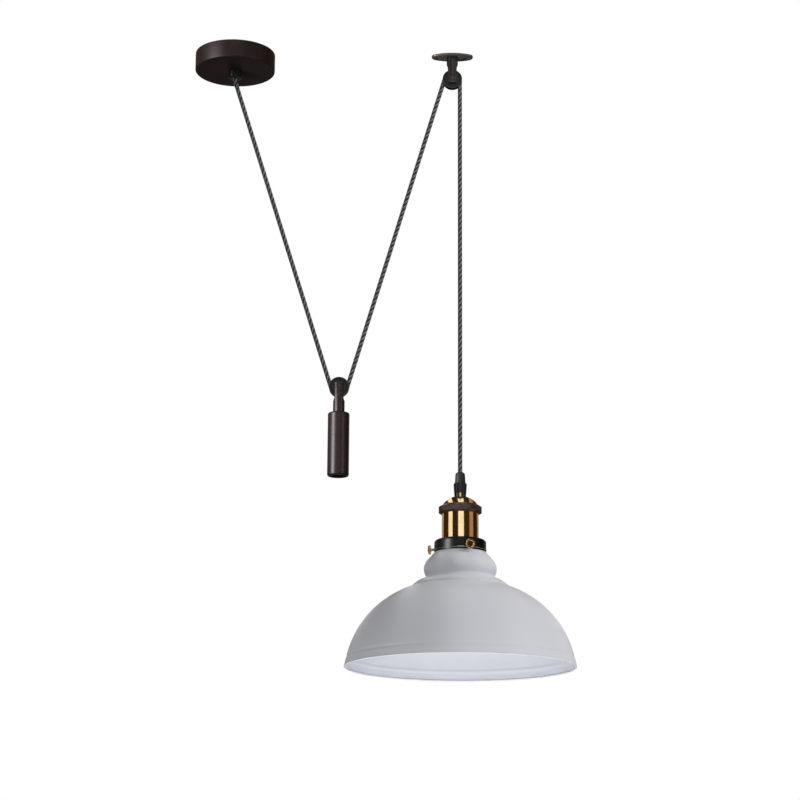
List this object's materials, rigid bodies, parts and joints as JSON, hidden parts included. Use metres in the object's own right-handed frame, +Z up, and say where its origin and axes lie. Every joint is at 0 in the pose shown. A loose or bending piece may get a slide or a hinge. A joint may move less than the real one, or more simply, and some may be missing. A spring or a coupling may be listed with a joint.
{
  "type": "rise and fall pendant",
  "caption": "Counterweighted rise and fall pendant: one flex runs from a ceiling canopy under a weight's pulley and over a ceiling pulley to a lampholder with a domed metal shade.",
  "frame": {"origin": "on the ceiling plane, on the axis of the canopy, midway between the strap's two slots", "axes": "+Z up, +X from the canopy towards the ceiling pulley and the lamp, +Y away from the viewer"},
  "size_m": [0.48, 0.28, 0.7881],
  "materials": {
    "bronze_paint": "dark brown-bronze satin paint over steel, faint vertical brushing",
    "brown_texture": "brown-bronze knurled ring, satin",
    "black_metal": "black satin paint over steel",
    "brass_polished": "polished brass",
    "brass_plain": "plain machined brass",
    "zinc_steel": "zinc-plated steel",
    "lead_ballast": "dull grey cast ballast",
    "black_plastic": "moulded black plastic, semi-gloss",
    "block_plastic": "natural polyamide",
    "porcelain": "glazed porcelain",
    "flex_braid": "dark round textile braid over a rubber sheath",
    "core_live": "brown core insulation",
    "core_neutral": "blue core insulation",
    "core_earth": "green and yellow core insulation",
    "shade_white": "spun aluminium, satin off-white enamel inside and out"
  },
  "bodies": {
    "root": {"canopy_cover": "bronze_paint", "canopy_strap": "zinc_steel", "canopy_nipple": "brass_plain", "nipple_nut": "zinc_steel", "canopy_grip": "black_plastic", "canopy_grip_screw": "zinc_steel", "terminal_block": "block_plastic", "terminal_barrels": "brass_plain", "terminal_screws": "zinc_steel", "canopy_core_live": "core_live", "canopy_core_neutral": "core_neutral", "canopy_core_earth": "core_earth", "flex_canopy_tail": "flex_braid", "flex_canopy_leg": "flex_braid", "flex_pulley_leg": "flex_braid", "flex_pulley_loop": "flex_braid", "flex_lamp_drop": "flex_braid", "pulley_plate": "bronze_paint", "pulley_yoke_screw": "zinc_steel", "pulley_yoke": "bronze_paint", "pulley_axle": "zinc_steel", "pulley_washers": "zinc_steel"},
    "counterweight": {"weight_yoke": "bronze_paint", "weight_axle": "zinc_steel", "weight_washers": "zinc_steel", "weight_stud": "zinc_steel", "weight_nut": "zinc_steel", "weight_shell": "bronze_paint", "weight_ballast": "lead_ballast", "weight_plug": "bronze_paint", "flex_weight_loop": "flex_braid"},
    "lamp": {"lamp_grip_cap": "black_plastic", "lamp_grip_body": "black_plastic", "holder_neck": "brass_polished", "holder_cap": "brass_polished", "holder_ring": "brown_texture", "holder_shell": "brass_polished", "socket_body": "porcelain", "screw_shell": "brass_plain", "centre_contact": "brass_plain", "holder_terminals": "zinc_steel", "earth_terminal": "brass_plain", "lamp_core_live": "core_live", "lamp_core_neutral": "core_neutral", "lamp_core_earth": "core_earth", "flex_lamp_tail": "flex_braid", "gallery": "black_metal", "gallery_nut": "zinc_steel", "shade": "shade_white"},
    "pulley_wheel": {"pulley_wheel": "bronze_paint", "pulley_bush": "brass_plain"},
    "weight_wheel": {"weight_wheel": "bronze_paint", "weight_bush": "brass_plain"},
    "thumb_screw_1": {"thumb_screw_1": "brass_polished"},
    "thumb_screw_2": {"thumb_screw_2": "brass_polished"},
    "thumb_screw_3": {"thumb_screw_3": "brass_polished"}
  },
  "joints": [
    {"name": "lamp_slide", "type": "slide", "parent": "root", "child": "lamp", "axis": [0, 0, 1], "range_m": [-0.4, 0.11], "deforming": ["flex_lamp_drop"]},
    {"name": "weight_slide", "type": "slide", "parent": "root", "child": "counterweight", "axis": [0, 0, 1], "range_m": [-0.061, 0.218], "deforming": ["flex_canopy_leg", "flex_pulley_leg"]},
    {"name": "pulley_wheel_spin", "type": "hinge", "parent": "root", "child": "pulley_wheel", "pos_m": [0.27925, 0, -0.0325], "axis": [0, 1, 0], "range_deg": [-655, 2360]},
    {"name": "weight_wheel_spin", "type": "hinge", "parent": "counterweight", "child": "weight_wheel", "pos_m": [0.139, 0, -0.441], "axis": [0, 1, 0], "range_deg": [-1185, 330]},
    {"name": "thumb_screw_1_travel", "type": "slide", "parent": "lamp", "child": "thumb_screw_1", "axis": [0.2924, -0.9563, 0], "range_m": [0, 0.0025]},
    {"name": "thumb_screw_2_travel", "type": "slide", "parent": "lamp", "child": "thumb_screw_2", "axis": [0.682, 0.7314, 0], "range_m": [0, 0.0025]},
    {"name": "thumb_screw_3_travel", "type": "slide", "parent": "lamp", "child": "thumb_screw_3", "axis": [-0.9744, 0.225, 0], "range_m": [0, 0.0025]}
  ],
  "couplings": [
    {"joint": "weight_slide", "follows": "lamp_slide", "ratio": -0.54},
    {"joint": "pulley_wheel_spin", "follows": "lamp_slide", "rad_per_m": -102.56},
    {"joint": "weight_wheel_spin", "follows": "lamp_slide", "rad_per_m": 51.282}
  ]
}
